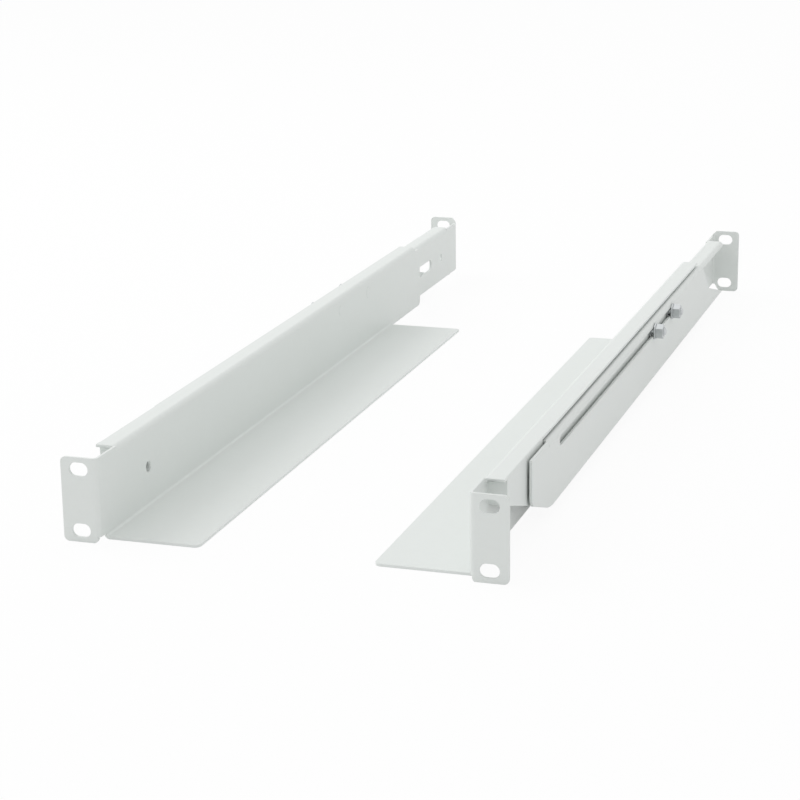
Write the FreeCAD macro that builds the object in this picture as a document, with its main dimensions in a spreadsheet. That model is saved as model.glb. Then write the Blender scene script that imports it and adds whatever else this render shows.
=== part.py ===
import FreeCAD, Part
import Sketcher
import math
import os

# Rack rail pair. Every rail has x outward from the web's inner face, y back from the
# front ear's face and z up from the ears' lower edge; the left rail mirrors the right.

doc = FreeCAD.newDocument("rack_rails")
sheet = doc.addObject("Spreadsheet::Sheet", "Sizes")

SIZES = {
    "overall_width": 233.2,
    "overall_length": 628.0,
    "rail_sheet": 1.5,
    "bend_inside": 1.5,
    "ear_margin": 6.125,
    "ear_width": 19.8,
    "ear_corner": 2.8,
    "ear_slot_length": 10.0,
    "ear_slot_width": 7.0,
    "ear_slot_reach": 10.1,
    "ear_slot_pitch": 31.75,
    "web_length": 529.0,
    "web_corner": 4.0,
    "web_hole": 6.0,
    "web_hole_back": 60.0,
    "lip_width": 11.3,
    "lip_front": 23.0,
    "lip_back_gap": 11.0,
    "wall_front": 32.0,
    "wall_foot": 15.0,
    "wall_rise": 13.0,
    "wall_run": 40.0,
    "ledge_width": 49.7,
    "ledge_front": 7.4,
    "ledge_back_gap": 68.0,
    "ledge_corner": 3.5,
    "ledge_back_corner": 2.5,
    "notch_width": 1.5,
    "notch_corner": 2.0,
    "slide_gap": 0.3,
    "channel_width": 12.3,
    "channel_drop": 1.3,
    "channel_foot": 4.9,
    "channel_back": 604.0,
    "flange_gap": 3.0,
    "slot_lead": 25.0,
    "nose_length": 34.4,
    "nose_run": 36.7,
    "nose_rise": 12.7,
    "nose_corner": 6.0,
    "leg_back_top": 527.0,
    "heel_knee_back": 552.0,
    "heel_knee_up": 18.8,
    "tail_drop": 0.7,
    "ear_relief": 3.0,
    "stud_back": 361.0,
    "stud_pitch": 54.0,
    "stud_drop": 6.7,
    "stud_width": 5.0,
    "stud_end": 21.2,
    "stud_chamfer": 0.6,
    "stud_head": 7.2,
    "stud_head_depth": 1.0,
    "press_gap": 0.05,
    "slot_width": 5.5,
    "travel": 236.0,
    "stop_gap": 2.0,
    "window_front": 505.0,
    "window_length": 58.0,
    "window_width": 7.5,
    "tail_hole": 5.0,
    "tail_hole_back": 587.0,
    "sleeve_width": 7.0,
    "sleeve_bore": 5.1,
    "washer_bore": 5.3,
    "washer_width": 10.0,
    "washer_sheet": 1.0,
    "nut_flats": 8.0,
    "nut_depth": 4.7,
}

HEX_RATIO = 2.0 / math.sqrt(3.0)
NUT_CROWN = 0.93


class Size:
    """A number that keeps the spreadsheet expression it came from."""

    def __init__(self, value, text):
        self.value = value
        self.text = text

    @staticmethod
    def of(item):
        """Return the item as a Size, wrapping a plain number."""
        return item if isinstance(item, Size) else Size(float(item), repr(float(item)))

    def join(self, other, sign, value):
        """Return the Size for this and another joined by an operator sign."""
        return Size(value, f"({self.text} {sign} {Size.of(other).text})")

    def __add__(self, other):
        return self.join(other, "+", self.value + Size.of(other).value)

    def __sub__(self, other):
        return self.join(other, "-", self.value - Size.of(other).value)

    def __mul__(self, other):
        return self.join(other, "*", self.value * Size.of(other).value)

    def __truediv__(self, other):
        return self.join(other, "/", self.value / Size.of(other).value)

    def __neg__(self):
        return Size.of(0) - self


def fill_sheet():
    """Write every size to its own aliased cell and return the sizes by name."""
    named = {}
    for row, (alias, value) in enumerate(SIZES.items(), start=1):
        sheet.set(f"A{row}", alias)
        sheet.set(f"B{row}", str(value))
        sheet.setAlias(f"B{row}", alias)
        named[alias] = Size(value, f"Sizes.{alias}")
    doc.recompute()
    return named


S = fill_sheet()
ZERO = Size.of(0)
SLIDER_REACH = S["rail_sheet"] + S["slide_gap"]
HALF_GAP = S["overall_width"] / 2 - S["ear_width"] - SLIDER_REACH
EAR_HEIGHT = S["ear_slot_pitch"] + S["ear_margin"] * 2
CHANNEL_TOP = EAR_HEIGHT - S["rail_sheet"] - S["channel_drop"]
STUD_UP = CHANNEL_TOP - S["stud_drop"]
SLOT_FRONT = S["stud_back"] - S["travel"] - S["stop_gap"]
FLANGE_FRONT = SLOT_FRONT - S["slot_lead"]
WALL_BACK = FLANGE_FRONT - S["flange_gap"]


def vector(point):
    """Return a sketch point as a flat vector."""
    return FreeCAD.Vector(point[0].value, point[1].value, 0)


def origin_plane(body, role):
    """Return one of the body's own origin planes."""
    return next(item for item in body.Origin.OriginFeatures if item.Role == role)


def new_sketch(body, name, role, offset=ZERO):
    """Start a sketch on an origin plane, moved along that plane's normal."""
    sketch = body.newObject("Sketcher::SketchObject", name)
    sketch.AttachmentSupport = [(origin_plane(body, role), "")]
    sketch.MapMode = "FlatFace"
    sketch.AttachmentOffset.Base.z = offset.value
    sketch.setExpression("AttachmentOffset.Base.z", offset.text)
    return sketch


def bind(sketch, kind, geometry, place, size, name):
    """Hold one coordinate of a sketch point at a size measured from the origin."""
    index = sketch.addConstraint(Sketcher.Constraint(kind, -1, 1, geometry, place, size.value))
    sketch.renameConstraint(index, name)
    sketch.setExpression(f"Constraints.{name}", size.text)


def bind_radius(sketch, geometry, size, name):
    """Hold a circle's or arc's radius at a size."""
    index = sketch.addConstraint(Sketcher.Constraint("Radius", geometry, size.value))
    sketch.renameConstraint(index, name)
    sketch.setExpression(f"Constraints.{name}", size.text)


def arc_between(start, end, radius, left):
    """Return a minor arc from start to end that turns left or right on its way."""
    chord = end - start
    rise = math.sqrt(max(radius ** 2 - (chord.Length / 2) ** 2, 0.0))
    side = FreeCAD.Vector(-chord.y, chord.x, 0).normalize()
    centre = (start + end) * 0.5 + side * (rise if left else -rise)
    first, last = (start, end) if left else (end, start)
    angles = [math.atan2(p.y - centre.y, p.x - centre.x) for p in (first, last)]
    circle = Part.Circle(centre, FreeCAD.Vector(0, 0, 1), radius)
    return Part.ArcOfCircle(circle, angles[0], angles[1])


def outline(sketch, tag, points, arcs=None):
    """Draw a closed outline; arcs maps a segment to its radius and whether it turns left."""
    arcs = arcs or {}
    count = len(points)
    ends = []
    for index in range(count):
        start = vector(points[index])
        end = vector(points[(index + 1) % count])
        if index in arcs:
            radius, left = arcs[index]
            edge = sketch.addGeometry(arc_between(start, end, radius.value, left), False)
            ends.append((edge, 1, 2) if left else (edge, 2, 1))
        else:
            edge = sketch.addGeometry(Part.LineSegment(start, end), False)
            ends.append((edge, 1, 2))
    for index in range(count):
        edge, start_place, _ = ends[index]
        before, _, end_place = ends[index - 1]
        sketch.addConstraint(Sketcher.Constraint("Coincident", before, end_place, edge, start_place))
        bind(sketch, "DistanceX", edge, start_place, points[index][0], f"{tag}_x{index}")
        bind(sketch, "DistanceY", edge, start_place, points[index][1], f"{tag}_y{index}")
    for index, (radius, _) in arcs.items():
        bind_radius(sketch, ends[index][0], radius, f"{tag}_r{index}")


def box(sketch, tag, left, low, right, high):
    """Draw a rectangle between two corners."""
    outline(sketch, tag, [(left, low), (right, low), (right, high), (left, high)])


def circle(sketch, tag, across, up, radius):
    """Draw a full circle."""
    shape = Part.Circle(vector((across, up)), FreeCAD.Vector(0, 0, 1), radius.value)
    edge = sketch.addGeometry(shape, False)
    bind(sketch, "DistanceX", edge, 3, across, f"{tag}_x")
    bind(sketch, "DistanceY", edge, 3, up, f"{tag}_y")
    bind_radius(sketch, edge, radius, f"{tag}_r")


def oblong(sketch, tag, first, last, up, width):
    """Draw a level slot with round ends between two end centres."""
    half = width / 2
    points = [(first, up - half), (last, up - half), (last, up + half), (first, up + half)]
    edges = []
    edges.append(sketch.addGeometry(Part.LineSegment(vector(points[0]), vector(points[1])), False))
    round_end = Part.Circle(vector((last, up)), FreeCAD.Vector(0, 0, 1), half.value)
    edges.append(sketch.addGeometry(Part.ArcOfCircle(round_end, -math.pi / 2, math.pi / 2), False))
    edges.append(sketch.addGeometry(Part.LineSegment(vector(points[2]), vector(points[3])), False))
    round_start = Part.Circle(vector((first, up)), FreeCAD.Vector(0, 0, 1), half.value)
    edges.append(sketch.addGeometry(Part.ArcOfCircle(round_start, math.pi / 2, 3 * math.pi / 2), False))
    for index in range(len(edges)):
        before = edges[index - 1]
        sketch.addConstraint(Sketcher.Constraint("Coincident", before, 2, edges[index], 1))
        bind(sketch, "DistanceX", edges[index], 1, points[index][0], f"{tag}_x{index}")
        bind(sketch, "DistanceY", edges[index], 1, points[index][1], f"{tag}_y{index}")
    bind(sketch, "DistanceX", edges[1], 3, last, f"{tag}_end")
    bind(sketch, "DistanceX", edges[3], 3, first, f"{tag}_start")


def pad(body, sketch, length, back=False):
    """Add material from a sketch; back turns the direction round."""
    feature = body.newObject("PartDesign::Pad", f"{sketch.Name}_pad")
    feature.Profile = sketch
    feature.Length = length.value
    feature.setExpression("Length", length.text)
    feature.Reversed = back
    return feature


def pocket(body, sketch, depth, back=False):
    """Cut material away and stop when the cut removes nothing."""
    doc.recompute()
    before = body.Shape.Volume
    feature = body.newObject("PartDesign::Pocket", f"{sketch.Name}_cut")
    feature.Profile = sketch
    feature.Length = depth.value
    feature.setExpression("Length", depth.text)
    feature.Reversed = back
    doc.recompute()
    if body.Shape.Volume >= before:
        raise RuntimeError(f"{feature.Name} removes nothing")
    return feature


def revolve(body, sketch, kind="Revolution"):
    """Turn a sketch about its own level axis, adding or cutting material."""
    feature = body.newObject(f"PartDesign::{kind}", f"{sketch.Name}_turn")
    feature.Profile = sketch
    feature.ReferenceAxis = (sketch, ["H_Axis"])
    feature.Angle = 360
    return feature


def round_edges(body, name, spots, radius):
    """Fillet the edges whose middles lie at the given spots in the body's own space."""
    doc.recompute()
    tip = body.Tip
    names = []
    for spot in spots:
        target = FreeCAD.Vector(*[item.value for item in spot])
        gaps = []
        for index, edge in enumerate(tip.Shape.Edges, start=1):
            gaps.append(((edge.CenterOfMass - target).Length, index))
        gap, index = min(gaps)
        if gap > radius.value / 2:
            raise RuntimeError(f"{name} finds no edge at {target}")
        names.append(f"Edge{index}")
    feature = body.newObject("PartDesign::Fillet", name)
    feature.Base = (tip, names)
    feature.Radius = radius.value
    feature.setExpression("Radius", radius.text)
    return feature


def place(item, across, back, up):
    """Set a sub-part's place in the shared frame from sizes."""
    for axis, size in zip("xyz", (across, back, up)):
        item.setExpression(f"Placement.Base.{axis}", size.text)


def new_body(label, back=ZERO, up=ZERO):
    """Start a right-hand sub-part at its place in the shared frame."""
    body = doc.addObject("PartDesign::Body", label)
    body.Label = label
    place(body, HALF_GAP, back - S["overall_length"] / 2, up)
    return body


def ear_slots(sketch, tag, reach):
    """Draw an ear's two level bolt slots, reach out from the rail's own origin."""
    half_run = (S["ear_slot_length"] - S["ear_slot_width"]) / 2
    for name, sign in (("low", -1), ("high", 1)):
        up = EAR_HEIGHT / 2 + S["ear_slot_pitch"] * sign / 2
        oblong(sketch, f"{tag}_{name}", reach - half_run, reach + half_run, up, S["ear_slot_width"])


def build_front_rail():
    """Build the front rail: ear, web, lip and ledge folded from one sheet."""
    body = new_body("right_front_rail")
    thick = S["rail_sheet"]
    outside = thick + S["bend_inside"]
    top = EAR_HEIGHT
    lip_back = S["web_length"] - S["lip_back_gap"]
    ledge_back = S["web_length"] - S["ledge_back_gap"]

    plan = new_sketch(body, "rail_plan", "XY_Plane")
    outline(plan, "plan", [
        (ZERO, S["web_length"]),
        (ZERO, outside),
        (outside, ZERO),
        (S["ear_width"], ZERO),
        (S["ear_width"], thick),
        (outside, thick),
        (thick, outside),
        (thick, S["web_length"]),
    ], {1: (outside, True), 5: (S["bend_inside"], False)})
    pad(body, plan, top)

    trim = new_sketch(body, "rail_trim", "YZ_Plane")
    box(trim, "above", S["lip_front"], top - outside, S["web_length"] + thick, top * 2)
    box(trim, "below", outside, -top, ledge_back, outside)
    circle(trim, "peep", S["web_hole_back"], top / 2, S["web_hole"] / 2)
    pocket(body, trim, thick, back=True)

    for name, start, end in (
        ("rail_lip_front", S["lip_front"], S["wall_front"]),
        ("rail_lip", WALL_BACK, lip_back),
    ):
        lip = new_sketch(body, name, "XZ_Plane", -start)
        outline(lip, "lip", [
            (ZERO, top - outside),
            (thick, top - outside),
            (outside, top - thick),
            (S["lip_width"], top - thick),
            (S["lip_width"], top),
            (outside, top),
        ], {1: (S["bend_inside"], False), 5: (outside, True)})
        pad(body, lip, end - start, back=True)

    wall = new_sketch(body, "rail_wall", "XZ_Plane", -S["wall_front"])
    outline(wall, "wall", [
        (ZERO, top - outside),
        (thick, top - outside),
        (outside, top - thick),
        (S["lip_width"] - outside, top - thick),
        (S["lip_width"] - thick, top - outside),
        (S["lip_width"] - thick, S["wall_foot"]),
        (S["lip_width"], S["wall_foot"]),
        (S["lip_width"], top - outside),
        (S["lip_width"] - outside, top),
        (outside, top),
    ], {
        1: (S["bend_inside"], False),
        3: (S["bend_inside"], False),
        7: (outside, True),
        9: (outside, True),
    })
    pad(body, wall, WALL_BACK - S["wall_front"], back=True)

    slant = new_sketch(body, "rail_wall_slant", "YZ_Plane", S["lip_width"] - outside)
    outline(slant, "slant", [
        (S["wall_front"] - thick, S["wall_foot"] - thick),
        (S["wall_front"] + S["wall_run"], S["wall_foot"] - thick),
        (S["wall_front"] + S["wall_run"], S["wall_foot"]),
        (S["wall_front"], S["wall_foot"] + S["wall_rise"]),
        (S["wall_front"] - thick, S["wall_foot"] + S["wall_rise"]),
    ])
    pocket(body, slant, outside + thick, back=True)

    ledge = new_sketch(body, "rail_ledge", "XZ_Plane", -S["ledge_front"])
    outline(ledge, "ledge", [
        (thick, outside),
        (ZERO, outside),
        (-S["bend_inside"], thick),
        (-S["ledge_width"], thick),
        (-S["ledge_width"], ZERO),
        (-S["bend_inside"], ZERO),
    ], {1: (S["bend_inside"], False), 5: (outside, True)})
    pad(body, ledge, ledge_back - S["ledge_front"], back=True)

    slots = new_sketch(body, "rail_slots", "XZ_Plane")
    ear_slots(slots, "ear", S["ear_slot_reach"])
    pocket(body, slots, thick)

    notch = new_sketch(body, "rail_notch", "XZ_Plane")
    box(notch, "notch", -thick, -thick, S["notch_width"], outside)
    pocket(body, notch, outside)

    press = new_sketch(body, "rail_press_holes", "YZ_Plane")
    heads = new_sketch(body, "rail_head_seats", "YZ_Plane")
    for name, step in (("fore", 0), ("aft", 1)):
        back = S["stud_back"] + S["stud_pitch"] * step
        circle(press, name, back, STUD_UP, S["stud_width"] / 2 + S["press_gap"])
        circle(heads, name, back, STUD_UP, S["stud_head"] / 2 + S["press_gap"])
    pocket(body, press, thick, back=True)
    pocket(body, heads, S["stud_head_depth"], back=True)

    ear_mid = thick / 2
    round_edges(body, "rail_ear_corners", [
        (S["ear_width"], ear_mid, ZERO),
        (S["ear_width"], ear_mid, top),
    ], S["ear_corner"])
    round_edges(body, "rail_notch_corner", [
        (S["notch_width"], ear_mid, ZERO),
    ], S["notch_corner"])
    round_edges(body, "rail_ledge_corners", [
        (-S["ledge_width"], S["ledge_front"], thick / 2),
    ], S["ledge_corner"])
    round_edges(body, "rail_ledge_back_corners", [
        (-S["ledge_width"], ledge_back, thick / 2),
    ], S["ledge_back_corner"])
    round_edges(body, "rail_web_corners", [
        (thick / 2, S["web_length"], ZERO),
        (thick / 2, S["web_length"], top - outside),
    ], S["web_corner"])
    return body


def build_rear_slider():
    """Build the rear slider: a channel under the lip that ends in the rear ear."""
    body = new_body("right_rear_slider")
    thick = S["rail_sheet"]
    outside = thick + S["bend_inside"]
    near = SLIDER_REACH
    far = near + S["channel_width"]
    top = CHANNEL_TOP
    tail_top = top - S["tail_drop"]
    foot = S["channel_foot"]
    front = FLANGE_FRONT - S["nose_length"]
    back = S["channel_back"]
    ear_top = EAR_HEIGHT
    ear_face = S["overall_length"]
    ear_edge = near + S["ear_width"]

    section = new_sketch(body, "slider_section", "XZ_Plane", -front)
    outline(section, "channel", [
        (near, foot),
        (near + thick, foot),
        (near + thick, top - outside),
        (near + outside, top - thick),
        (far - outside, top - thick),
        (far - thick, top - outside),
        (far - thick, foot),
        (far, foot),
        (far, top - outside),
        (far - outside, top),
        (near + outside, top),
        (near, top - outside),
    ], {
        2: (S["bend_inside"], False),
        4: (S["bend_inside"], False),
        8: (outside, True),
        10: (outside, True),
    })
    pad(body, section, back - front, back=True)

    relief = new_sketch(body, "slider_relief", "XY_Plane")
    box(relief, "open", ZERO, front - thick, far - thick, FLANGE_FRONT)
    pocket(body, relief, ear_top, back=True)

    edge = new_sketch(body, "slider_top_cut", "YZ_Plane", far - outside)
    box(edge, "bend", front - thick, top - outside, FLANGE_FRONT, top * 2)
    pocket(body, edge, outside, back=True)

    ends = new_sketch(body, "slider_leg_ends", "YZ_Plane", far - outside)
    outline(ends, "nose", [
        (front - thick, foot - thick),
        (front + S["nose_run"], foot - thick),
        (front + S["nose_run"], foot),
        (front, foot + S["nose_rise"]),
        (front - thick, foot + S["nose_rise"]),
    ])
    outline(ends, "slant", [
        (back + thick, foot),
        (back + thick, top - outside),
        (S["leg_back_top"], top - outside),
        (S["heel_knee_back"], S["heel_knee_up"]),
    ])
    pocket(body, ends, outside + thick, back=True)

    slot_back = S["stud_back"] + S["stud_pitch"] + S["stop_gap"]
    slot = new_sketch(body, "slider_stud_slot", "YZ_Plane")
    oblong(slot, "slot", SLOT_FRONT, slot_back, STUD_UP, S["slot_width"])
    pocket(body, slot, far + thick, back=True)

    tail = new_sketch(body, "slider_tail", "XY_Plane", foot)
    outline(tail, "tail", [
        (near + thick, back - thick),
        (near + thick, ear_face - outside),
        (near + outside, ear_face - thick),
        (near + outside + thick, ear_face - thick),
        (near + outside + thick, ear_face),
        (near + outside, ear_face),
        (near, ear_face - outside),
        (near, back - thick),
    ], {1: (S["bend_inside"], False), 5: (outside, True)})
    pad(body, tail, tail_top - foot)

    corner = new_sketch(body, "slider_bend_top", "XY_Plane", tail_top - thick)
    outline(corner, "corner", [
        (near + thick, ear_face - outside),
        (near + outside, ear_face - thick),
        (near + outside + thick, ear_face - thick),
        (near + outside + thick, ear_face),
        (near + outside, ear_face),
        (near, ear_face - outside),
    ], {0: (S["bend_inside"], False), 4: (outside, True)})
    pad(body, corner, ear_top - tail_top + thick)

    ear = new_sketch(body, "slider_ear", "XZ_Plane", thick - ear_face)
    outline(ear, "ear", [
        (near + outside, foot),
        (near + outside + S["ear_relief"], ZERO),
        (ear_edge, ZERO),
        (ear_edge, ear_top),
        (near + outside, ear_top),
    ])
    pad(body, ear, thick, back=True)

    rise = ear_top - tail_top
    slope = new_sketch(body, "slider_bend_slope", "XZ_Plane", outside - ear_face)
    outline(slope, "slope", [
        (near - thick, tail_top),
        (near, tail_top),
        (near + rise, ear_top),
        (near + rise, ear_top + thick),
        (near - thick, ear_top + thick),
    ])
    pocket(body, slope, outside)

    slots = new_sketch(body, "slider_ear_slots", "XZ_Plane", thick - ear_face)
    ear_slots(slots, "ear", near + S["ear_slot_reach"])
    pocket(body, slots, thick)

    window = new_sketch(body, "slider_window", "YZ_Plane")
    half = S["window_width"] / 2
    window_back = S["window_front"] + S["window_length"]
    oblong(window, "window", S["window_front"] + half, window_back - half, ear_top / 2, S["window_width"])
    circle(window, "tail_hole", S["tail_hole_back"], ear_top / 2, S["tail_hole"] / 2)
    pocket(body, window, near + thick, back=True)

    ear_mid = ear_face - thick / 2
    round_edges(body, "slider_ear_corners", [
        (ear_edge, ear_mid, ZERO),
        (ear_edge, ear_mid, ear_top),
    ], S["ear_corner"])
    round_edges(body, "slider_nose_corner", [
        (far - thick / 2, front, foot + S["nose_rise"]),
    ], S["nose_corner"])
    return body


def build_ring(label, back, first, last, bore, width):
    """Build a plain ring on a stud's axis between two distances from the web."""
    body = new_body(label, back, STUD_UP)
    section = new_sketch(body, f"{label}_section", "XY_Plane")
    box(section, "ring", first, bore / 2, last, width / 2)
    revolve(body, section)
    return body


def build_stud(label, back):
    """Build a press-in stud whose flat head lies flush in the web."""
    body = new_body(label, back, STUD_UP)
    shank = S["stud_width"] / 2
    head = S["stud_head"] / 2
    section = new_sketch(body, f"{label}_section", "XY_Plane")
    outline(section, "stud", [
        (ZERO, ZERO),
        (S["stud_end"], ZERO),
        (S["stud_end"], shank - S["stud_chamfer"]),
        (S["stud_end"] - S["stud_chamfer"], shank),
        (S["stud_head_depth"], shank),
        (S["stud_head_depth"], head),
        (ZERO, head),
    ])
    revolve(body, section)
    return body


def build_nut(label, back, first):
    """Build a hexagon nut with turned corners on a stud's axis."""
    body = new_body(label, back, STUD_UP)
    flat = S["nut_flats"] / 2
    corner = flat * HEX_RATIO
    last = first + S["nut_depth"]
    hexagon = new_sketch(body, f"{label}_hexagon", "YZ_Plane", first)
    outline(hexagon, "hex", [
        (ZERO, corner),
        (-flat, corner / 2),
        (-flat, -corner / 2),
        (ZERO, -corner),
        (flat, -corner / 2),
        (flat, corner / 2),
    ])
    pad(body, hexagon, S["nut_depth"])
    bore = new_sketch(body, f"{label}_bore", "YZ_Plane", first)
    circle(bore, "bore", ZERO, ZERO, S["stud_width"] / 2 + S["press_gap"])
    pocket(body, bore, S["nut_depth"], back=True)
    crown = new_sketch(body, f"{label}_crown", "XY_Plane")
    rim = flat * NUT_CROWN
    slope = (corner - rim) / 2
    outline(crown, "crown", [
        (last - slope, corner),
        (last, rim),
        (last + slope, rim),
        (last + slope, corner),
    ])
    revolve(body, crown, "Groove")
    return body


def build_right():
    """Build every right-hand sub-part."""
    bodies = [build_front_rail(), build_rear_slider()]
    inner = SLIDER_REACH + S["rail_sheet"]
    outer = SLIDER_REACH + S["channel_width"]
    washer_face = outer + S["slide_gap"]
    nut_face = washer_face + S["washer_sheet"]
    for name, step in (("fore", 0), ("aft", 1)):
        back = S["stud_back"] + S["stud_pitch"] * step
        bodies.append(build_stud(f"right_{name}_stud", back))
        bodies.append(build_ring(f"right_{name}_sleeve", back, inner + S["slide_gap"],
                                 outer - S["rail_sheet"] - S["slide_gap"],
                                 S["sleeve_bore"], S["sleeve_width"]))
        bodies.append(build_ring(f"right_{name}_washer", back, washer_face, nut_face,
                                 S["washer_bore"], S["washer_width"]))
        bodies.append(build_nut(f"right_{name}_nut", back, nut_face))
    return bodies


def build_left(bodies):
    """Mirror every right-hand sub-part across the middle plane."""
    mirrored = []
    for body in bodies:
        label = body.Label.replace("right_", "left_")
        item = doc.addObject("Part::Mirroring", label)
        item.Label = label
        item.Source = body
        item.Normal = FreeCAD.Vector(1, 0, 0)
        mirrored.append(item)
    return mirrored


def check_and_export(items):
    """Stop on any failed object, then write every sub-part to its own file."""
    doc.recompute()
    for item in doc.Objects:
        if "Invalid" in item.State or "Error" in item.State:
            raise RuntimeError(f"{item.Name} failed to compute")
    os.makedirs("parts", exist_ok=True)
    for item in items:
        shape = item.Shape
        if shape.isNull() or not shape.isValid() or len(shape.Solids) != 1:
            raise RuntimeError(f"{item.Label} is not one sound solid")
        shape.exportStep(os.path.join("parts", f"{item.Label}.step"))


right_parts = build_right()
left_parts = build_left(right_parts)
check_and_export(right_parts + left_parts)
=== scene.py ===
"""Looks of the rack rail pair: coated sheet parts, zinc hardware, studio and camera."""
import logging
import math
from collections.abc import Callable, Iterator
from contextlib import contextmanager
from dataclasses import dataclass
from enum import Enum
from functools import cache

import bmesh
import bpy
from bmesh.types import BMesh, BMFace, BMVert
from bpy.types import ID, Material, Mesh, Node, NodeSocket, NodeTree, Object
from mathutils import Matrix, Quaternion, Vector


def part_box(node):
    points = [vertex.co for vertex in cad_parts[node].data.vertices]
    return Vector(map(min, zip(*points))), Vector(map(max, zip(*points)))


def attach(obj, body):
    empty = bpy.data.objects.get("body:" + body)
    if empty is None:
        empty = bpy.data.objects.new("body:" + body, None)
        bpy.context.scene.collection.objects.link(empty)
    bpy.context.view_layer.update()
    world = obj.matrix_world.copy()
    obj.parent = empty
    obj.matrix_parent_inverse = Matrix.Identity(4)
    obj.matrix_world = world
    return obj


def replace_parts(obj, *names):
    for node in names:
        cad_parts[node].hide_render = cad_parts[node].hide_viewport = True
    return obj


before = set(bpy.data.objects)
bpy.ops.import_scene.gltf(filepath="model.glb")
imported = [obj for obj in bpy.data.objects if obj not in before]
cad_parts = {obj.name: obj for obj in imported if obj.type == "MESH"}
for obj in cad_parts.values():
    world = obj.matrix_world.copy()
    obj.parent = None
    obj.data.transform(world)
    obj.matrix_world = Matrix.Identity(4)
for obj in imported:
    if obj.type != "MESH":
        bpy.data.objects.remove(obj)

log = logging.getLogger("rack_rails")

Tone = tuple[float, float, float]
Place = tuple[float, float, float]
Loop = list[tuple[float, float]]
Feeds = dict[str | int, object]

MM = 0.001

# Corners this close are one corner.
MERGE_GAP = 0.002 * MM

# A point this near to a size is at it.
NEAR = 0.02 * MM

# Faces that turn less than this are one flat face.
FLAT_ANGLE = math.radians(0.4)

# Edges that turn more than this are sharp.
SHARP_ANGLE = math.radians(35.0)

# Weight of broad faces in the shading, where 50 is neutral and 100 the most.
BROAD_FACES = 100

# Edges that lie this close to a crisp place aren't eased.
CRISP_REACH = 2.8 * MM

# Bevel profile that follows an arc.
ARC_PROFILE = 0.5

# Display curve: a straight foot, then a power of the tone.
FULL_TONE = 255.0
FOOT_END = 0.04045
FOOT_SLOPE = 12.92
TONE_OFFSET = 0.055
TONE_POWER = 2.4

WHITE = (1.0, 1.0, 1.0, 1.0)

# Inputs of the mottle with their usual values, and the layers of detail in its noise.
MOTTLE_INPUTS = {"Broad Scale": 9.0, "Fine Scale": 220.0, "Fine Share": 0.35}
MOTTLE_DETAIL = 3.0

# Attribute that holds each clamp station's turn.
TURN = "turn"


class Side(Enum):
    """The two rails of the pair."""

    LEFT = "left"
    RIGHT = "right"

    @property
    def outward(self) -> float:
        """Give the sign of x on this side."""
        return 1.0 if self is Side.RIGHT else -1.0


class Station(Enum):
    """The two clamps of a rail."""

    FORE = "fore"
    AFT = "aft"


class Hardware(Enum):
    """The kinds of clamp hardware."""

    STUD = "stud"
    SLEEVE = "sleeve"
    WASHER = "washer"
    NUT = "nut"

    def node(self, side: Side, station: Station) -> str:
        """Name the solid of this kind at one station."""
        return f"{side.value}_{station.value}_{self.value}"

    def nodes(self) -> list[str]:
        """Name every solid of this kind."""
        return [self.node(side, station) for side in Side for station in Station]


class Slot(Enum):
    """Material slots of the record."""

    COAT = "painted_steel"
    ZINC = "zinc_steel"


class Socket(Enum):
    """Socket types of node trees."""

    GEOMETRY = "NodeSocketGeometry"
    FLOAT = "NodeSocketFloat"
    OBJECT = "NodeSocketObject"
    MATERIAL = "NodeSocketMaterial"


# The station whose solids are measured and copied.
SAMPLE = (Side.RIGHT, Station.FORE)


def linear_tone(tone: float) -> float:
    """Undo the display curve of one channel.

    Args:
        tone: the display tone from 0 to 255.

    Returns:
        The linear value from 0 to 1.
    """
    part = tone / FULL_TONE
    if part <= FOOT_END:
        return part / FOOT_SLOPE
    return ((part + TONE_OFFSET) / (1.0 + TONE_OFFSET)) ** TONE_POWER


def linear(display: Tone) -> tuple[float, ...]:
    """Turn a display colour into the renderer's linear colour with full alpha."""
    return *(linear_tone(tone) for tone in display), 1.0


def feed(node: Node, feeds: Feeds) -> None:
    """Link or set a node's inputs.

    Args:
        node: the node.
        feeds: the socket to link or the value to set, by the input's name or number.
    """
    for key, value in feeds.items():
        if isinstance(value, NodeSocket):
            node.id_data.links.new(value, node.inputs[key])
        else:
            node.inputs[key].default_value = value


def put(tree: NodeTree, kind: str, feeds: Feeds | None = None, **values: object) -> Node:
    """Add a node to a tree, set its properties and feed its inputs.

    Args:
        tree: the node tree.
        kind: the node's type name.
        feeds: what its inputs are linked or set to.
        values: node properties by name.

    Returns:
        The new node.
    """
    node = tree.nodes.new(kind)
    for name, value in values.items():
        setattr(node, name, value)
    feed(node, feeds or {})
    return node


def sight_mask(tree: NodeTree) -> NodeSocket:
    """Add a mask of the rays that show the background: seen, mirrored or let through.

    Args:
        tree: the node tree of the floor or the surround.

    Returns:
        The socket that gives 1 on those rays and 0 on rays that light the object.
    """
    rays = put(tree, "ShaderNodeLightPath").outputs
    mask = rays["Is Camera Ray"]
    for name in ("Is Glossy Ray", "Is Transmission Ray"):
        either = put(tree, "ShaderNodeMath", {0: mask, 1: rays[name]}, operation="MAXIMUM")
        mask = either.outputs["Value"]
    return mask


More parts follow.
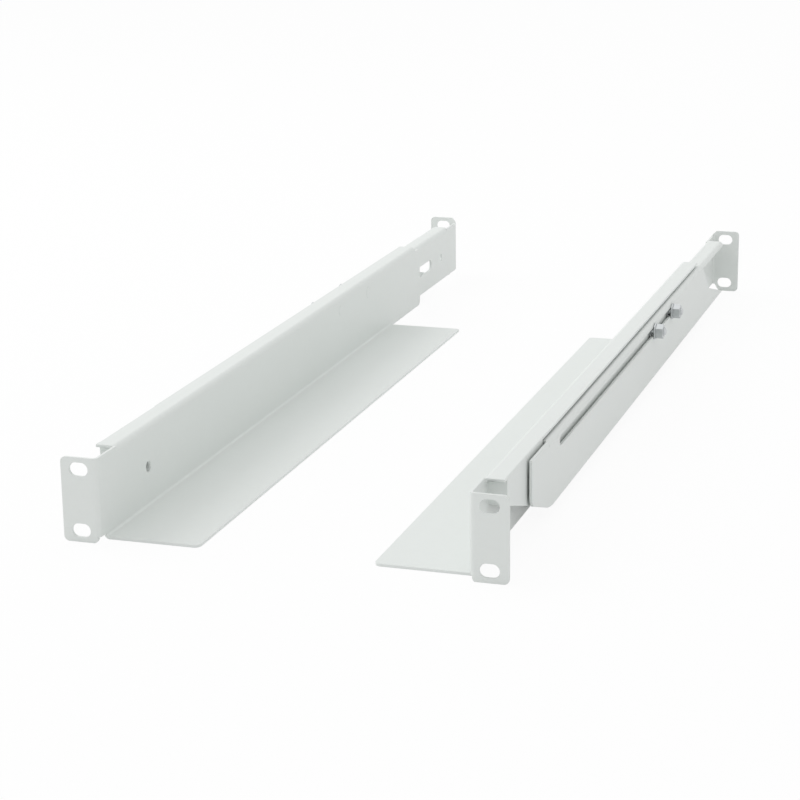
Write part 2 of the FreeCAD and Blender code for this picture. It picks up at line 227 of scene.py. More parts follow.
def mottle_group() -> NodeTree:
    """Build the shared mottle: a value that drifts over a surface at two scales.

    Returns:
        The shader node group, with its sizes as inputs and one value as output.
    """
    tree = bpy.data.node_groups.new("surface_mottle", "ShaderNodeTree")
    sockets = tree.interface
    for name, value in MOTTLE_INPUTS.items():
        item = sockets.new_socket(name, in_out="INPUT", socket_type=Socket.FLOAT.value)
        item.default_value = value
    sockets.new_socket("Value", in_out="OUTPUT", socket_type=Socket.FLOAT.value)
    given = put(tree, "NodeGroupInput").outputs
    place = put(tree, "ShaderNodeTexCoord").outputs["Object"]
    broad, fine = (
        put(tree, "ShaderNodeTexNoise", {
            "Vector": place, "Scale": given[scale], "Detail": MOTTLE_DETAIL}).outputs["Fac"]
        for scale in ("Broad Scale", "Fine Scale"))
    blend = put(tree, "ShaderNodeMix", {
        "Factor": given["Fine Share"], "A": broad, "B": fine}, data_type="FLOAT")
    put(tree, "NodeGroupOutput", {"Value": blend.outputs["Result"]})
    return tree


@dataclass(frozen=True)
class Finish:
    """A surface finish: two close tones, a roughness band and a fine relief."""

    name: str
    dark: Tone
    pale: Tone
    smooth: float
    rough: float
    metallic: float
    grain_scale: float
    grain_height: float
    grain_stretch: tuple[float, float, float]
    broad_scale: float
    fine_scale: float
    grain_detail: float = 2.0

    def material(self, mottle: NodeTree) -> Material:
        """Build the finish's material.

        Args:
            mottle: the shared mottle group.

        Returns:
            The material, ready to assign.
        """
        made = bpy.data.materials.new(self.name)
        made.use_nodes = True
        tree = made.node_tree
        drift = put(tree, "ShaderNodeGroup", {
            "Broad Scale": self.broad_scale,
            "Fine Scale": self.fine_scale}, node_tree=mottle).outputs["Value"]
        tones = put(tree, "ShaderNodeMix", {
            "Factor": drift,
            "A": linear(self.dark),
            "B": linear(self.pale)}, data_type="RGBA")
        gloss = put(tree, "ShaderNodeMapRange", {
            "Value": drift,
            "To Min": self.smooth,
            "To Max": self.rough})
        stretch = put(tree, "ShaderNodeMapping", {
            "Vector": put(tree, "ShaderNodeTexCoord").outputs["Object"],
            "Scale": self.grain_stretch})
        grain = put(tree, "ShaderNodeTexNoise", {
            "Vector": stretch.outputs["Vector"],
            "Scale": self.grain_scale,
            "Detail": self.grain_detail})
        relief = put(tree, "ShaderNodeBump", {
            "Height": grain.outputs["Fac"],
            "Distance": self.grain_height})
        feed(tree.nodes["Principled BSDF"], {
            "Base Color": tones.outputs["Result"],
            "Metallic": self.metallic,
            "Roughness": gloss.outputs["Result"],
            "Normal": relief.outputs["Normal"]})
        return made


POWDER_COAT = Finish(
    name="powder_coat", dark=(225, 229, 226), pale=(232, 236, 234), smooth=0.38, rough=0.52,
    metallic=0.0, grain_scale=900.0, grain_height=0.02 * MM, grain_stretch=(1.0, 1.0, 1.0),
    broad_scale=9.0, fine_scale=240.0)
BRIGHT_ZINC = Finish(
    name="bright_zinc", dark=(176, 180, 181), pale=(206, 209, 210), smooth=0.24, rough=0.42,
    metallic=1.0, grain_scale=700.0, grain_height=0.012 * MM, grain_stretch=(4.0, 1.0, 1.0),
    broad_scale=160.0, fine_scale=900.0)


def link(name: str, data: ID) -> Object:
    """Put a mesh, lamp or camera into the scene as an object at the origin.

    Args:
        name: the object's name.
        data: what it holds.

    Returns:
        The object.
    """
    item = bpy.data.objects.new(name, data)
    bpy.context.scene.collection.objects.link(item)
    return item


def aim_object(item: Object, place: Place, aim: Place) -> None:
    """Move a lamp or camera to its place and face it to a point.

    Args:
        item: the lamp or camera.
        place: where it stands.
        aim: the point it faces.
    """
    item.location = place
    item.rotation_mode = "QUATERNION"
    item.rotation_quaternion = (Vector(aim) - Vector(place)).to_track_quat("-Z", "Y")


def dress(piece: Object, finish: Material) -> None:
    """Give a piece one material in place of any it has."""
    piece.data.materials.clear()
    piece.data.materials.append(finish)


def bake_modifiers(piece: Object) -> None:
    """Turn a piece's modifiers into plain mesh.

    Args:
        piece: the object whose mesh takes in its modifiers.
    """
    graph = bpy.context.evaluated_depsgraph_get()
    made = bpy.data.meshes.new_from_object(piece.evaluated_get(graph))
    made.name = piece.data.name
    piece.modifiers.clear()
    piece.data = made


@cache
def rail_origin() -> Vector:
    """Find the right rail's origin in the frame.

    Returns:
        The point at its web's inner face and its front ear's face, on the floor.
    """
    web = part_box(Hardware.STUD.node(*SAMPLE))[0].x
    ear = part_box("right_front_rail")[0].y
    return Vector((web, ear, 0.0))


def rail_spot(point: Vector) -> Vector:
    """Give a point's distance out from its rail's web, back from the front ear, and up."""
    return Vector((abs(point.x), point.y, point.z)) - rail_origin()


def rail_point(side: Side, across: float, back: float, up: float) -> Vector:
    """Give the point at a place on one rail, the reverse of rail_spot.

    Args:
        side: the rail's side.
        across: the distance out from the web's inner face.
        back: the distance back from the front ear's face.
        up: the height.

    Returns:
        The point.
    """
    point = Vector((across, back, up)) + rail_origin()
    return Vector((side.outward * point.x, point.y, point.z))


@contextmanager
def editing(mesh: Mesh) -> Iterator[BMesh]:
    """Open a mesh for editing and write it back at the end.

    Args:
        mesh: the mesh.

    Yields:
        Its editable form.
    """
    work = bmesh.new()
    work.from_mesh(mesh)
    yield work
    work.to_mesh(mesh)
    work.free()


def join_faces(work: BMesh) -> None:
    """Weld a mesh's corners and join the triangles of its flat faces.

    Args:
        work: the mesh.
    """
    bmesh.ops.remove_doubles(work, verts=work.verts, dist=MERGE_GAP)
    bmesh.ops.dissolve_limit(
        work, angle_limit=FLAT_ANGLE, verts=work.verts, edges=work.edges)


def merged_copy(node: str, name: str, reshape: Callable[[BMesh], None]) -> Object:
    """Copy a solid's mesh with its triangles joined into whole faces.

    Args:
        node: the solid's node.
        name: the copy's name.
        reshape: what is done to the joined mesh.

    Returns:
        The copy, linked to the scene.
    """
    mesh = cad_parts[node].data.copy()
    mesh.name = name
    with editing(mesh) as work:
        join_faces(work)
        reshape(work)
    return link(name, mesh)


def front_faces(
        work: BMesh, find: Callable[[BMesh], list[BMFace]], cut: Vector) -> list[BMFace]:
    """Cut a group of faces across the rail.

    Args:
        work: the mesh.
        find: what finds the group in the mesh.
        cut: a point on the cut.

    Returns:
        The faces of the group in front of the cut.
    """
    group = find(work)
    ring = dict.fromkeys(edge for face in group for edge in face.edges)
    tips = dict.fromkeys(vertex for face in group for vertex in face.verts)
    bmesh.ops.bisect_plane(
        work, geom=[*group, *ring, *tips], plane_co=cut, plane_no=(0.0, 1.0, 0.0))
    return [face for face in find(work) if face.calc_center_median().y < cut.y]


def raise_faces(work: BMesh, faces: list[BMFace]) -> list[BMVert]:
    """Draw faces out of a closed mesh, with side walls and nothing left inside.

    Args:
        work: the mesh.
        faces: the faces to draw out.

    Returns:
        The corners of the drawn faces, still at their old places.
    """
    made = bmesh.ops.extrude_face_region(work, geom=faces)["geom"]
    bmesh.ops.delete(work, geom=faces, context="FACES_ONLY")
    return [item for item in made if isinstance(item, BMVert)]


def round_fold(
        work: BMesh, on_fold: Callable[[Vector], bool], reach: float, steps: int) -> None:
    """Round the edges of a mesh that lie on one fold.

    Args:
        work: the mesh.
        on_fold: what tells whether a point lies on the fold.
        reach: how far the rounding goes from the fold.
        steps: the facets across it.
    """
    fold = [edge for edge in work.edges if all(on_fold(vertex.co) for vertex in edge.verts)]
    bmesh.ops.bevel(
        work, geom=fold, offset=reach, offset_type="OFFSET", segments=steps,
        profile=ARC_PROFILE, affect="EDGES")


def mark_edges(mesh: Mesh, crisp: list[Vector]) -> None:
    """Mark the edges of a mesh that are eased, and those that stay sharp.

    Args:
        mesh: the mesh.
        crisp: places on a rail, such as the ends of folds, whose edges stay sharp.
    """
    with editing(mesh) as work:
        weight = work.edges.layers.float.new("bevel_weight_edge")
        for edge in work.edges:
            if edge.calc_face_angle(0.0) > SHARP_ANGLE:
                ends = [rail_spot(vertex.co) for vertex in edge.verts]
                edge.smooth = not any(
                    all((end - place).length < CRISP_REACH for end in ends) for place in crisp)
                edge[weight] = float(edge.smooth)


def ease_edges(piece: Object, width: float, steps: int, crisp: list[Vector]) -> None:
    """Round a piece's sharp edges a little and keep its broad faces flat to the light.

    Args:
        piece: the piece.
        width: the width of the rounding.
        steps: the facets across it.
        crisp: places on a rail whose edges stay sharp.
    """
    piece.data.shade_smooth()
    mark_edges(piece.data, crisp)
    bevel = piece.modifiers.new("ease", "BEVEL")
    bevel.width = width
    bevel.segments = steps
    bevel.use_clamp_overlap = False
    bevel.limit_method = "WEIGHT"
    even = piece.modifiers.new("even", "WEIGHTED_NORMAL")
    even.mode = "FACE_AREA"
    even.weight = BROAD_FACES
    even.keep_sharp = True
    bake_modifiers(piece)


def plate_mesh(name: str, loops: list[Loop], sheet: float) -> Mesh:
    """Cut a flat plate.

    Args:
        name: the plate's name.
        loops: its outline and its holes, as points in its middle plane.
        sheet: its thickness.

    Returns:
        The plate's mesh.
    """
    drawing = bpy.data.curves.new(name, "CURVE")
    drawing.dimensions = "2D"
    drawing.fill_mode = "BOTH"
    drawing.extrude = sheet / 2
    for loop in loops:
        spline = drawing.splines.new("POLY")
        spline.points.add(len(loop) - 1)
        for point, (back, up) in zip(spline.points, loop):
            point.co = (back, up, 0.0, 1.0)
        spline.use_cyclic_u = True
    holder = bpy.data.objects.new(name, drawing)
    mesh = bpy.data.meshes.new_from_object(holder)
    bpy.data.objects.remove(holder)
    return mesh


@dataclass
class SheetPart:
    """A folded sheet part: the solid's mesh with its sheared edges eased."""

    side: Side
    sheet: float = 1.5 * MM
    edge_ease: float = 0.2 * MM
    edge_steps: int = 2
    crisp_mm: tuple[Place, ...] = ()

    @property
    def node(self) -> str:
        """Name the solid that the part stands for."""
        raise NotImplementedError

    @property
    def body(self) -> str:
        """Name the body that carries the part."""
        raise NotImplementedError

    def reshape(self, work: BMesh) -> None:
        """Change the copied mesh where the part's form needs it."""
        raise NotImplementedError

    def finish(self, piece: Object, coat: Material) -> Object:
        """Ease a piece's edges, coat it and set it on the part's body.

        Args:
            piece: the piece.
            coat: the coat's material.

        Returns:
            The finished piece.
        """
        crisp = [Vector(place) * MM for place in self.crisp_mm]
        ease_edges(piece, self.edge_ease, self.edge_steps, crisp)
        dress(piece, coat)
        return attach(piece, self.body)

    def build(self, coat: Material) -> list[Object]:
        """Build the part in place of its solid.

        Args:
            coat: the coat's material.

        Returns:
            The finished pieces.
        """
        copy = merged_copy(self.node, f"{self.node}_sheet", self.reshape)
        return [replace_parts(self.finish(copy, coat), self.node)]


@dataclass
class FrontRail(SheetPart):
    """A front rail: its wall folds tight from the lip, turns in and has a rear tongue."""

    lip_width: float = 11.3 * MM
    lip_top: float = 44.0 * MM
    wall_front: float = 32.0 * MM
    wall_back: float = 95.0 * MM
    fold_loose: float = 3.0 * MM
    fold_tight: float = 0.7 * MM
    wall_forward: float = 4.5 * MM
    wall_slant: float = 13.0 / 40.0
    return_seat: float = 0.25 * MM
    return_bend: float = 1.2 * MM
    return_steps: int = 5
    tongue_foot: float = 28.5 * MM
    tongue_top: float = 39.0 * MM
    tongue_back: float = 432.0 * MM
    tongue_corner: float = 3.0 * MM
    corner_steps: int = 6
    sleeve_room: float = 0.15 * MM
    hole_steps: int = 48

    # Ends of folds, where edges stay sharp: lip and wall at the rear and the front,
    # web and lip, web and ledge, web and ear.
    crisp_mm: tuple[Place, ...] = (
        (11.0, 95.0, 43.0), (11.0, 27.5, 43.0), (1.5, 23.0, 42.5),
        (0.0, 461.0, 1.5), (2.2, 0.0, 0.4))

    @property
    def node(self) -> str:
        """Name the rail's solid."""
        return f"{self.side.value}_front_rail"

    @property
    def body(self) -> str:
        """Name the body of both front rails."""
        return "front_rails"

    @property
    def return_front(self) -> float:
        """Give the front of the wall's turned-in end."""
        return self.wall_front - self.wall_forward

    def reshape(self, work: BMesh) -> None:
        """Draw the wall's fold tight, bring its front end forward and turn that in.

        Args:
            work: the copied mesh.
        """
        self.tighten_fold(work)
        self.bring_forward(work)
        self.turn_in(work)

    def tighten_fold(self, work: BMesh) -> None:
        """Draw the fold between lip and wall tight.

        Args:
            work: the copied mesh.
        """
        corner = Vector((self.lip_width, self.lip_top))
        loose = corner - Vector((self.fold_loose, self.fold_loose))
        tight = corner - Vector((self.fold_tight, self.fold_tight))
        for vertex in work.verts:
            across, back, up = rail_spot(vertex.co)
            arm = Vector((across, up)) - loose
            on_fold = min(arm) > -NEAR and abs(arm.length - self.fold_loose) < NEAR
            if on_fold and self.wall_front - NEAR < back < self.wall_back + NEAR:
                spot = tight + arm * (self.fold_tight / self.fold_loose)
                vertex.co = rail_point(self.side, spot.x, back, spot.y)

    def bring_forward(self, work: BMesh) -> None:
        """Bring the wall's front end forward along its slanted lower edge.

        Args:
            work: the copied mesh.
        """
        shoulder = self.lip_width - self.fold_loose - NEAR
        for vertex in work.verts:
            across, back, up = rail_spot(vertex.co)
            if across > shoulder and abs(back - self.wall_front) < NEAR:
                vertex.co.y -= self.wall_forward
                if up < self.tongue_top:
                    vertex.co.z += self.wall_forward * self.wall_slant

    def turn_in(self, work: BMesh) -> None:
        """Turn the wall's front end in to the web, with a round fold.

        Args:
            work: the copied mesh.
        """
        cut = rail_point(self.side, 0.0, self.return_front + self.sheet, 0.0)
        strip = front_faces(work, self.wall_inside, cut)
        for vertex in raise_faces(work, strip):
            _, back, up = rail_spot(vertex.co)
            vertex.co = rail_point(self.side, self.sheet - self.return_seat, back, up)
        round_fold(work, self.on_return_fold, self.return_bend, self.return_steps)

    def wall_inside(self, work: BMesh) -> list[BMFace]:
        """Find the faces of the wall that look at the web.

        Args:
            work: the copied mesh.

        Returns:
            The faces.
        """
        work.normal_update()
        depth = self.lip_width - self.sheet
        return [face for face in work.faces
                if -face.normal.x * self.side.outward > math.cos(FLAT_ANGLE)
                and abs(rail_spot(face.calc_center_median()).x - depth) < NEAR]

    def on_return_fold(self, point: Vector) -> bool:
        """Tell whether a point lies on the fold of the turned-in end, below the lip.

        Args:
            point: the point.

        Returns:
            True on the fold.
        """
        across, back, up = rail_spot(point)
        return (abs(across - self.lip_width) < NEAR
                and abs(back - self.return_front) < NEAR
                and up < self.lip_top - self.sheet + NEAR)

    def tongue_rim(self) -> Loop:
        """Draw the tongue's outline in the wall's plane.

        Returns:
            The outline's points, each its distance back along the rail and up.
        """
        corner = self.tongue_corner
        quarter = [step / self.corner_steps * math.pi / 2
                   for step in range(self.corner_steps + 1)]
        low = [(self.tongue_back - corner + corner * math.sin(turn),
                self.tongue_foot + corner - corner * math.cos(turn)) for turn in quarter]
        flip = self.tongue_foot + self.tongue_top
        high = [(back, flip - up) for back, up in reversed(low)]
        return [(self.wall_back, self.tongue_foot), *low, *high,
                (self.wall_back, self.tongue_top)]

    def sleeve_hole(self, station: Station) -> Loop:
        """Draw the tongue's hole for one sleeve.

        Args:
            station: the sleeve's station.

        Returns:
            The hole's points, each its distance back along the rail and up.
        """
        low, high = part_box(Hardware.SLEEVE.node(self.side, station))
        middle = rail_spot((low + high) / 2)
        radius = (high.z - low.z) / 2 + self.sleeve_room
        turns = [step / self.hole_steps * math.tau for step in range(self.hole_steps)]
        return [(middle.y + radius * math.cos(turn), middle.z + radius * math.sin(turn))
                for turn in turns]

    def tongue(self) -> Object:
        """Cut the tongue as a plate in line with the wall.

        Returns:
            The plate, linked to the scene.
        """
        name = f"{self.side.value}_wall_tongue"
        holes = [self.sleeve_hole(station) for station in Station]
        mesh = plate_mesh(name, [self.tongue_rim(), *holes], self.sheet)
        middle = self.lip_width - self.sheet / 2
        with editing(mesh) as work:
            for vertex in work.verts:
                back, up, depth = vertex.co
                vertex.co = rail_point(self.side, middle + depth, back, up)
            join_faces(work)
            bmesh.ops.recalc_face_normals(work, faces=work.faces)
        return link(name, mesh)

    def build(self, coat: Material) -> list[Object]:
        """Build the rail and its wall's tongue."""
        return [*super().build(coat), self.finish(self.tongue(), coat)]


@dataclass
class RearSlider(SheetPart):
    """A rear slider: its nose is level with the lip and its lower edge bends softly."""

    nose_top: float = 38.2 * MM
    nose_lift: float = 3.0 * MM
    crown_back: float = 97.2 * MM
    knee_back: float = 100.3 * MM
    knee_up: float = 4.9 * MM
    knee_near: float = 0.04 * MM
    knee_reach: float = 7.0 * MM
    knee_steps: int = 8

    # The tail's top corner beside the rear ear, where edges stay sharp.
    crisp_mm: tuple[Place, ...] = ((3.0, 603.2, 40.0),)

    @property
    def node(self) -> str:
        """Name the slider's solid."""
        return f"{self.side.value}_rear_slider"

    @property
    def body(self) -> str:
        """Name the slider's own body."""
        return f"{self.side.value}_slider"

    def reshape(self, work: BMesh) -> None:
        """Raise the nose to the lip's level and soften the knee of its lower edge.

        Args:
            work: the copied mesh.
        """
        cut = rail_point(self.side, 0.0, self.crown_back, 0.0)
        lifted = raise_faces(work, front_faces(work, self.crown, cut))
        bmesh.ops.translate(work, vec=(0.0, 0.0, self.nose_lift), verts=lifted)
        round_fold(work, self.at_knee, self.knee_reach, self.knee_steps)

    def crown(self, work: BMesh) -> list[BMFace]:
        """Find the faces on top of the nose.

        Args:
            work: the copied mesh.

        Returns:
            The faces.
        """
        work.normal_update()
        return [face for face in work.faces
                if face.normal.z > math.cos(FLAT_ANGLE)
                and abs(face.calc_center_median().z - self.nose_top) < NEAR
                and rail_spot(face.calc_center_median()).y < self.knee_back]

    def at_knee(self, point: Vector) -> bool:
        """Tell whether a point lies on the knee of the nose's lower edge."""
        spot = rail_spot(point)
        return math.hypot(spot.y - self.knee_back, spot.z - self.knee_up) < self.knee_near


class StationRow:
    """A geometry tree that sets one shape at every clamp station and dresses it."""

    def __init__(self, name: str, inputs: dict[str, Socket]) -> None:
        """Start the tree with its sockets.

        Args:
            name: the tree's name.
            inputs: its inputs' types by name, apart from the points and the finish.
        """
        self.tree = bpy.data.node_groups.new(name, "GeometryNodeTree")
        self.tree.is_modifier = True
        self.keys: dict[str, str] = {}
        sockets = self.tree.interface
        kinds = {"Geometry": Socket.GEOMETRY, **inputs, "Finish": Socket.MATERIAL}
        for key, kind in kinds.items():
            item = sockets.new_socket(key, in_out="INPUT", socket_type=kind.value)
            self.keys[key] = item.identifier
        sockets.new_socket("Geometry", in_out="OUTPUT", socket_type=Socket.GEOMETRY.value)
        self.given = self.add("NodeGroupInput").outputs

    def add(self, kind: str, feeds: Feeds | None = None, **values: object) -> Node:
        """Add a node to the tree, set its properties and feed its inputs."""
        return put(self.tree, kind, feeds, **values)

    def close(self, shape: NodeSocket) -> None:
        """Set the shape at each point, make it real and give it the finish.

        Args:
            shape: the geometry to repeat.
        """
        turn = self.add(
            "GeometryNodeInputNamedAttribute", {"Name": TURN}, data_type="FLOAT_VECTOR")
        facing = self.add("FunctionNodeEulerToRotation", {"Euler": turn.outputs["Attribute"]})
        spread = self.add("GeometryNodeInstanceOnPoints", {
            "Points": self.given["Geometry"],
            "Instance": shape,
            "Rotation": facing.outputs["Rotation"]})
        real = self.add("GeometryNodeRealizeInstances", {
            "Geometry": spread.outputs["Instances"]})
        paint = self.add("GeometryNodeSetMaterial", {
            "Geometry": real.outputs["Geometry"],
            "Material": self.given["Finish"]})
        self.add("NodeGroupOutput", {"Geometry": paint.outputs["Geometry"]})


class CopyRow(StationRow):
    """The tree that repeats one modelled shape."""

    def __init__(self) -> None:
        """Build the tree, with the shape and its finish as inputs."""
        super().__init__("clamp_row", {"Shape": Socket.OBJECT})
        source = self.add("GeometryNodeObjectInfo", {
            "Object": self.given["Shape"]}, transform_space="ORIGINAL")
        self.close(source.outputs["Geometry"])


class StudRow(StationRow):
    """The tree of a threaded shank: a core with a chamfered tip, and its thread."""

    def __init__(self, ring_steps: int, ridge_sides: int) -> None:
        """Build the tree, with the shank's sizes and finish as inputs.

        Args:
            ring_steps: the facets round the shank.
            ridge_sides: the sides of the thread's ridge.
        """
        sizes = ("Radius", "Start", "Length", "Pitch", "Depth", "Chamfer")
        super().__init__("threaded_studs", dict.fromkeys(sizes, Socket.FLOAT))
        self.ring_steps = ring_steps
        self.ridge_sides = ridge_sides
        given = self.given
        self.core_radius = self.maths("SUBTRACT", given["Radius"], given["Depth"])
        self.core_length = self.maths("SUBTRACT", given["Length"], given["Chamfer"])
        standing = self.joined(self.shank(), self.thread())
        start = self.add("ShaderNodeCombineXYZ", {"X": given["Start"]})
        lying = self.add("GeometryNodeTransform", {
            "Geometry": standing,
            "Translation": start.outputs["Vector"],
            "Rotation": (0.0, math.pi / 2, 0.0)})
        self.close(lying.outputs["Geometry"])

    def maths(
            self, operation: str, first: NodeSocket, second: NodeSocket | float) -> NodeSocket:
        """Work out a value from two others."""
        node = self.add("ShaderNodeMath", {0: first, 1: second}, operation=operation)
        return node.outputs["Value"]

    def joined(self, *shapes: NodeSocket) -> NodeSocket:
        """Join shapes into one.

        Args:
            shapes: the shapes.

        Returns:
            The joined shape.
        """
        node = self.add("GeometryNodeJoinGeometry")
        for shape in shapes:
            feed(node, {"Geometry": shape})
        return node.outputs["Geometry"]

    def lifted(self, shape: NodeSocket, height: NodeSocket) -> NodeSocket:
        """Lift a shape along the shank.

        Args:
            shape: the shape.
            height: how far it is lifted.

        Returns:
            The lifted shape.
        """
        rise = self.add("ShaderNodeCombineXYZ", {"Z": height})
        node = self.add("GeometryNodeTransform", {
            "Geometry": shape,
            "Translation": rise.outputs["Vector"]})
        return node.outputs["Geometry"]

    def shank(self) -> NodeSocket:
        """Build the core and its chamfered tip, welded where they meet.

        Returns:
            The shank, standing on the origin.
        """
        core = self.add("GeometryNodeMeshCylinder", {
            "Vertices": self.ring_steps,
            "Radius": self.core_radius,
            "Depth": self.core_length})
        tip = self.add("GeometryNodeMeshCone", {
            "Vertices": self.ring_steps,
            "Radius Top": self.maths("SUBTRACT", self.core_radius, self.given["Depth"]),
            "Radius Bottom": self.core_radius,
            "Depth": self.given["Chamfer"]})
        both = self.joined(
            self.lifted(core.outputs["Mesh"], self.maths("DIVIDE", self.core_length, 2.0)),
            self.lifted(tip.outputs["Mesh"], self.core_length))
        place = self.add("GeometryNodeInputPosition").outputs["Position"]
        at_seam = self.add("FunctionNodeCompare", {
            "A": self.add("ShaderNodeSeparateXYZ", {"Vector": place}).outputs["Z"],
            "B": self.core_length,
            "Epsilon": MERGE_GAP}, data_type="FLOAT", operation="EQUAL")
        opened = self.add("GeometryNodeDeleteGeometry", {
            "Geometry": both,
            "Selection": at_seam.outputs["Result"]}, domain="FACE", mode="ONLY_FACE")
        welded = self.add("GeometryNodeMergeByDistance", {
            "Geometry": opened.outputs["Geometry"],
            "Distance": MERGE_GAP})
        return welded.outputs["Geometry"]

    def thread(self) -> NodeSocket:
        """Wind the thread's ridge round the core.

        Returns:
            The thread, closed at both ends.
        """
        helix = self.add("GeometryNodeCurveSpiral", {
            "Resolution": self.ring_steps // 2,
            "Rotations": self.maths("DIVIDE", self.core_length, self.given["Pitch"]),
            "Start Radius": self.core_radius,
            "End Radius": self.core_radius,
            "Height": self.core_length})
        ridge = self.add("GeometryNodeCurvePrimitiveCircle", {
            "Resolution": self.ridge_sides,
            "Radius": self.given["Depth"]}, mode="RADIUS")
        wound = self.add("GeometryNodeCurveToMesh", {
            "Curve": helix.outputs["Curve"],
            "Profile Curve": ridge.outputs["Curve"],
            "Fill Caps": True})
        return wound.outputs["Mesh"]


@dataclass
class ClampHardware:
    """Studs, washers, nuts and sleeves that clamp the sliders."""

    body: str = "front_rails"
    thread_pitch: float = 0.8 * MM
    thread_depth: float = 0.3 * MM
    tip_chamfer: float = 0.6 * MM
    edge_ease: float = 0.15 * MM
    edge_steps: int = 2
    ring_steps: int = 64
    ridge_sides: int = 4
    head_depth: float = 1.0 * MM

    def axis_point(self, side: Side, station: Station) -> Vector:
        """Find where a stud's axis meets the web's inner face.

        Args:
            side: the stud's rail.
            station: its station.

        Returns:
            The point.
        """
        low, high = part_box(Hardware.STUD.node(side, station))
        middle = (low + high) / 2
        return Vector((low.x if side is Side.RIGHT else high.x, middle.y, middle.z))

    def station_points(self, name: str) -> Object:
        """Make the points that carry the hardware, each turned to its side.

        Args:
            name: the object's name.

        Returns:
            The points, linked to the scene.
        """
        stations = [(side, station) for side in Side for station in Station]
        mesh = bpy.data.meshes.new(name)
        mesh.from_pydata([tuple(self.axis_point(*where)) for where in stations], [], [])
        attribute = mesh.attributes.new(TURN, "FLOAT_VECTOR", "POINT")
        for item, (side, _) in zip(attribute.data, stations):
            item.vector = (0.0, 0.0, 0.0 if side is Side.RIGHT else math.pi)
        return link(name, mesh)

    def spread(self, row: StationRow, name: str, slot: Slot, **values: object) -> Object:
        """Run a tree at every station and keep the result as one plain piece.

        Args:
            row: the geometry tree.
            name: the piece's name.
            slot: not used.
            values: the tree's inputs by name.

        Returns:
            The finished piece.
        """
        piece = self.station_points(name)
        modifier = piece.modifiers.new(name, "NODES")
        modifier.node_group = row.tree
        for key, value in values.items():
            modifier[row.keys[key]] = value
        bake_modifiers(piece)
        piece.data.shade_smooth()
        piece.data.set_sharp_from_angle(angle=SHARP_ANGLE)
        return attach(piece, self.body)

    def local_shape(self, kind: Hardware) -> Object:
        """Copy one solid of a kind to a station's own origin, with eased edges.

        Args:
            kind: the kind of hardware.

        Returns:
            The shape to repeat.
        """
        def to_origin(work: BMesh) -> None:
            """Move the copy from its station to the origin."""
            bmesh.ops.translate(work, vec=-self.axis_point(*SAMPLE), verts=work.verts)

        shape = merged_copy(kind.node(*SAMPLE), f"{kind.value}_shape", to_origin)
        ease_edges(shape, self.edge_ease, self.edge_steps, [])
        return shape

    def loose_hardware(self, row: CopyRow, zinc: Material) -> list[Object]:
        """Set the nuts, washers and sleeves at every station.

        Args:
            row: the tree that repeats a shape.
            zinc: their finish.

        Returns:
            The finished pieces.
        """
        made = []
        for kind in (Hardware.NUT, Hardware.WASHER, Hardware.SLEEVE):
            shape = self.local_shape(kind)
            piece = self.spread(
                row, f"clamp_{kind.value}s", Slot.ZINC, Shape=shape, Finish=zinc)
            made.append(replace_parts(piece, *kind.nodes()))
            bpy.data.objects.remove(shape)
        return made

    def stud_heads(self, row: CopyRow, coat: Material) -> Object:
        """Set the studs' flush heads, low discs under the coat.

        Args:
            row: the tree that repeats a shape.
            coat: the finish that covers them.

        Returns:
            The finished piece.
        """
        low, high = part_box(Hardware.STUD.node(*SAMPLE))
        radius = (high.y - low.y) / 2
        lie = Matrix.Rotation(math.pi / 2, 4, "Y")
        seat = Matrix.Translation((self.head_depth / 2, 0.0, 0.0))
        mesh = bpy.data.meshes.new("head_shape")
        with editing(mesh) as work:
            bmesh.ops.create_cone(
                work, cap_ends=True, segments=self.ring_steps, radius1=radius,
                radius2=radius, depth=self.head_depth, matrix=seat @ lie)
        shape = link("head_shape", mesh)
        heads = self.spread(row, "stud_heads", Slot.COAT, Shape=shape, Finish=coat)
        bpy.data.objects.remove(shape)
        return heads

    def studs(self, zinc: Material) -> Object:
        """Set the threaded shanks of the studs.

        Args:
            zinc: their finish.

        Returns:
            The finished piece.
        """
        low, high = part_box(Hardware.STUD.node(*SAMPLE))
        row = StudRow(self.ring_steps, self.ridge_sides)
        piece = self.spread(
            row, "clamp_studs", Slot.ZINC, Radius=self.shank_radius(), Start=self.head_depth,
            Length=high.x - low.x - self.head_depth, Pitch=self.thread_pitch,
            Depth=self.thread_depth, Chamfer=self.tip_chamfer, Finish=zinc)
        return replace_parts(piece, *Hardware.STUD.nodes())

    def shank_radius(self) -> float:
        """Measure a stud's shank on its half away from the head.

        Returns:
            The radius.
        """
        node = Hardware.STUD.node(*SAMPLE)
        low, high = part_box(node)
        middle = (low + high) / 2
        arms = [vertex.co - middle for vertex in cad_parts[node].data.vertices]
        return max(math.hypot(arm.y, arm.z) for arm in arms if arm.x > 0.0)

    def build(self, zinc: Material, coat: Material) -> list[Object]:
        """Build every piece of clamp hardware.

        Args:
            zinc: the finish of the loose hardware and the shanks.
            coat: the finish that covers the flush heads.

        Returns:
            The finished pieces.
        """
        row = CopyRow()
        return [*self.loose_hardware(row, zinc), self.stud_heads(row, coat), self.studs(zinc)]


@dataclass(frozen=True)
class SoftLamp:
    """A square soft lamp that faces the middle of the floor."""

    name: str
    place: Place
    size: float
    power: float
    aim: Place = (0.0, 0.0, 0.0)

    def build(self) -> None:
        """Hang the lamp."""
        data = bpy.data.lights.new(self.name, "AREA")
        data.shape = "SQUARE"
        data.size = self.size
        data.energy = self.power
        aim_object(link(self.name, data), self.place, self.aim)


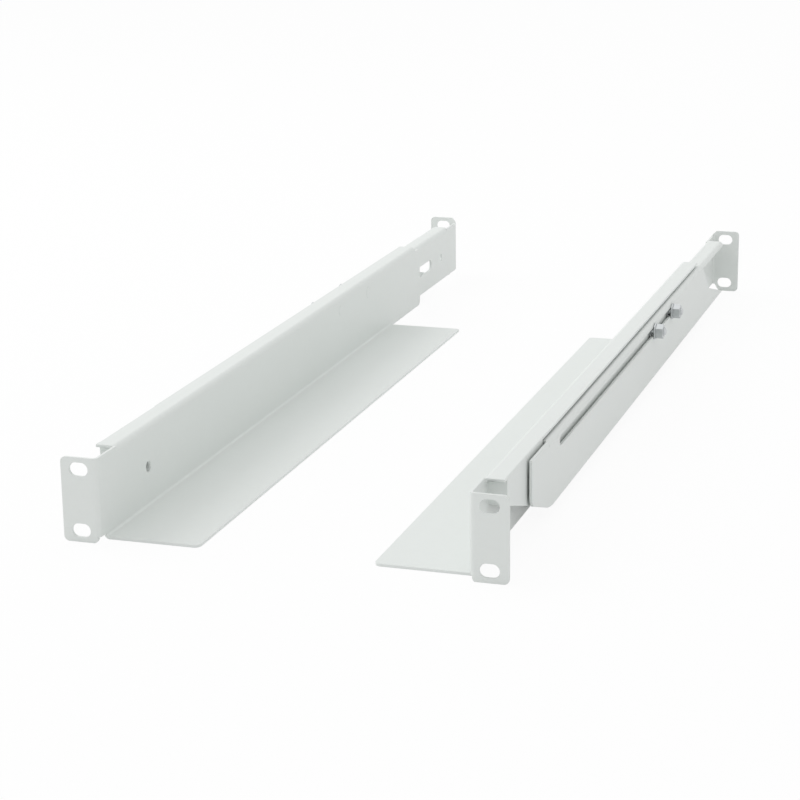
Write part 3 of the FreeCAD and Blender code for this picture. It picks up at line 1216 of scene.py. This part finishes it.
@dataclass
class Studio:
    """A plain pale floor, soft lamps and a white surround."""

    floor_size: float = 12.0
    floor_tone: Tone = (246, 246, 246)
    floor_rough: float = 0.9
    floor_glow: float = 0.93
    surround_light: float = 0.75
    surround_seen: float = 1.0
    lamps: tuple[SoftLamp, ...] = (
        SoftLamp("overhead", place=(-0.2, 0.2, 1.6), size=1.6, power=2.5),
        SoftLamp("left_side", place=(-1.7, 0.1, 1.4), size=1.4, power=13.0))

    def floor(self) -> None:
        """Lay the floor at the rails' feet."""
        half = self.floor_size / 2
        rim = [(-half, -half, 0.0), (half, -half, 0.0), (half, half, 0.0), (-half, half, 0.0)]
        mesh = bpy.data.meshes.new("studio_floor")
        mesh.from_pydata(rim, [], [range(len(rim))])
        ground = link("studio_floor", mesh)
        dress(ground, self.floor_material())

    def floor_material(self) -> Material:
        """Build the floor's material: pale and dull, and near white where it is seen.

        Returns:
            The material.
        """
        made = bpy.data.materials.new("pale_floor")
        made.use_nodes = True
        tree = made.node_tree
        shader = tree.nodes["Principled BSDF"]
        feed(shader, {"Base Color": linear(self.floor_tone), "Roughness": self.floor_rough})
        glow = put(tree, "ShaderNodeEmission")
        share = put(tree, "ShaderNodeMath", {
            0: sight_mask(tree), 1: self.floor_glow}, operation="MULTIPLY")
        mix = put(tree, "ShaderNodeMixShader", {
            0: share.outputs["Value"],
            1: shader.outputs["BSDF"],
            2: glow.outputs["Emission"]})
        feed(tree.nodes["Material Output"], {"Surface": mix.outputs["Shader"]})
        return made

    def world(self) -> None:
        """Make the surround white to the eye and softer as light."""
        world = bpy.data.worlds.new("white_surround")
        bpy.context.scene.world = world
        world.use_nodes = True
        tree = world.node_tree
        level = put(tree, "ShaderNodeMapRange", {
            "Value": sight_mask(tree),
            "To Min": self.surround_light,
            "To Max": self.surround_seen})
        feed(tree.nodes["Background"], {"Color": WHITE, "Strength": level.outputs["Result"]})

    def build(self) -> None:
        """Set up the floor, the surround and the lamps."""
        self.floor()
        self.world()
        for lamp in self.lamps:
            lamp.build()


@dataclass
class PhotoCamera:
    """The camera at the photograph's viewing angle."""

    place: Place = (0.36554, -1.23922, 0.36395)
    aim: Place = (-0.02103, -0.06, 0.00991)
    roll: float = math.radians(-0.762)
    lens: float = 98.29
    sensor: float = 36.0

    def build(self) -> None:
        """Set up the camera and make it the scene's own."""
        data = bpy.data.cameras.new("photo_camera")
        data.lens = self.lens
        data.sensor_width = self.sensor
        item = link("photo_camera", data)
        aim_object(item, self.place, self.aim)
        item.rotation_quaternion @= Quaternion((0.0, 0.0, 1.0), self.roll)
        bpy.context.scene.camera = item


def main() -> None:
    """Build the pieces in order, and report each."""
    logging.basicConfig(level=logging.INFO, format="%(message)s")
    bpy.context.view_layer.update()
    bpy.context.scene.view_settings.view_transform = "Standard"
    mottle = mottle_group()
    coat = POWDER_COAT.material(mottle)
    zinc = BRIGHT_ZINC.material(mottle)
    pieces = []
    for side in Side:
        pieces += FrontRail(side).build(coat)
        pieces += RearSlider(side).build(coat)
    pieces += ClampHardware().build(zinc, coat)
    for piece in pieces:
        log.info("%s has %d faces", piece.name, len(piece.data.polygons))
    Studio().build()
    PhotoCamera().build()


if __name__ == "__main__":
    main()
